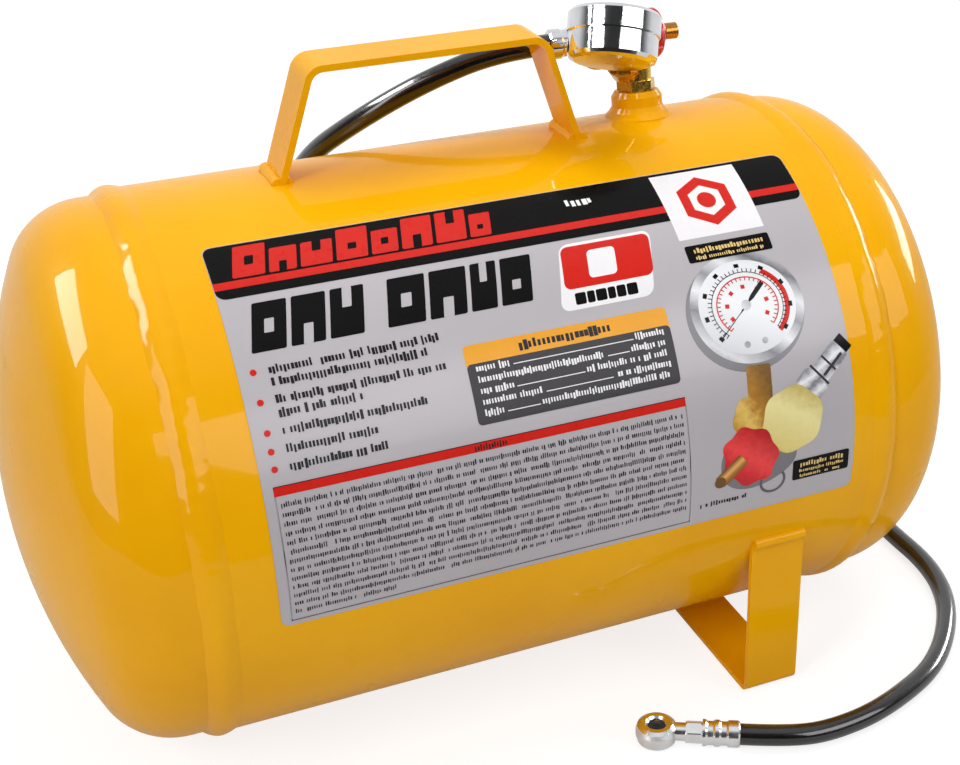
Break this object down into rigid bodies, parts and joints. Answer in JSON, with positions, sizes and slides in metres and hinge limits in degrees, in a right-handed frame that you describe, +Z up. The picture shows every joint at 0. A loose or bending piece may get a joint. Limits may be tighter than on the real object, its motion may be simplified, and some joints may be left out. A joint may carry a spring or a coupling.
{
  "type": "portable air receiver tank",
  "caption": "Portable steel air tank with carry handle, single strap foot, brass valve manifold with gauge, shut-off knob, safety valve, and a rubber tyre hose with air chuck.",
  "frame": {"origin": "on the floor, under the middle of the tank without its hose", "axes": "+X along the tank towards the foot and gauge end, +Y to the back, +Z up"},
  "size_m": [0.4604, 0.3407, 0.3173],
  "materials": {
    "yellow": "gloss yellow paint",
    "label": "printed vinyl",
    "brass": "bright machined brass",
    "chrome": "polished chrome plate",
    "red": "moulded red plastic",
    "dial": "printed white dial",
    "needle": "matt black paint",
    "glass": "clear window",
    "bronze": "phosphor bronze",
    "steel": "plain steel",
    "rubber": "black rubber"
  },
  "bodies": {
    "tank": {"bourdon_tube": "bronze", "bung_weld": "yellow", "chuck_body": "chrome", "chuck_ferrule": "chrome", "chuck_nut": "chrome", "chuck_seal": "rubber", "foot": "yellow", "foot_welds": "yellow", "gauge_bezel": "chrome", "gauge_case": "chrome", "gauge_dial": "dial", "gauge_lens": "glass", "gauge_movement": "brass", "gauge_socket": "brass", "handle": "yellow", "handle_welds": "yellow", "hose": "rubber", "hose_ferrule": "chrome", "hose_fitting": "chrome", "label": "label", "left_girth_weld": "yellow", "left_head": "yellow", "manifold_body": "brass", "packing_nut": "brass", "right_girth_weld": "yellow", "right_head": "yellow", "safety_body": "brass", "safety_cap": "brass", "safety_spring": "steel", "seam_weld": "yellow", "shell": "yellow", "spindle_oring": "rubber", "tank_bung": "yellow"},
    "valve_carriage": {"fill_core": "brass"},
    "valve_knob": {"knob": "red", "valve_spindle": "brass"},
    "fill_pin": {"core_pin": "steel"},
    "gauge_pointer": {"gauge_needle": "needle"},
    "safety_plunger": {"safety_stem": "steel"},
    "safety_ring": {"pull_ring": "steel"},
    "chuck_plunger": {"chuck_pin": "steel"}
  },
  "joints": [
    {"name": "valve_lift", "type": "slide", "parent": "tank", "child": "valve_carriage", "axis": [0.9945, -0.1034, 0.0151], "range_m": [0, 0.0018]},
    {"name": "knob_turn", "type": "hinge", "parent": "valve_carriage", "child": "valve_knob", "pos_m": [0.10544, 0.02234, 0.28826], "axis": [0.9945, -0.1034, 0.0151], "range_deg": [0, 518.4]},
    {"name": "fill_pin_press", "type": "slide", "parent": "valve_carriage", "child": "fill_pin", "axis": [-0.9945, 0.1034, -0.0151], "range_m": [0, 0.0012], "stiffness_N_per_m": 500, "springref_m": -0.002},
    {"name": "gauge_turn", "type": "hinge", "parent": "tank", "child": "gauge_pointer", "pos_m": [0.0699, -0.0107, 0.298], "axis": [-0.258, -0.39, -0.8839], "range_deg": [0, 270]},
    {"name": "safety_lift", "type": "slide", "parent": "tank", "child": "safety_plunger", "axis": [0.1045, 0.9842, -0.1432], "range_m": [0, 0.0025], "stiffness_N_per_m": 4000, "springref_m": -0.004, "deforming": ["safety_spring"]},
    {"name": "ring_swing", "type": "hinge", "parent": "safety_plunger", "child": "safety_ring", "pos_m": [0.09586, 0.06463, 0.2821], "axis": [0.9945, -0.1034, 0.0151], "range_deg": [-70, 95]},
    {"name": "chuck_pin_press", "type": "slide", "parent": "tank", "child": "chuck_plunger", "axis": [0, 0, -1], "range_m": [0, 0.001], "stiffness_N_per_m": 500, "springref_m": -0.002}
  ],
  "couplings": [
    {"joint": "knob_turn", "follows": "valve_lift", "rad_per_m": 5026.5}
  ]
}
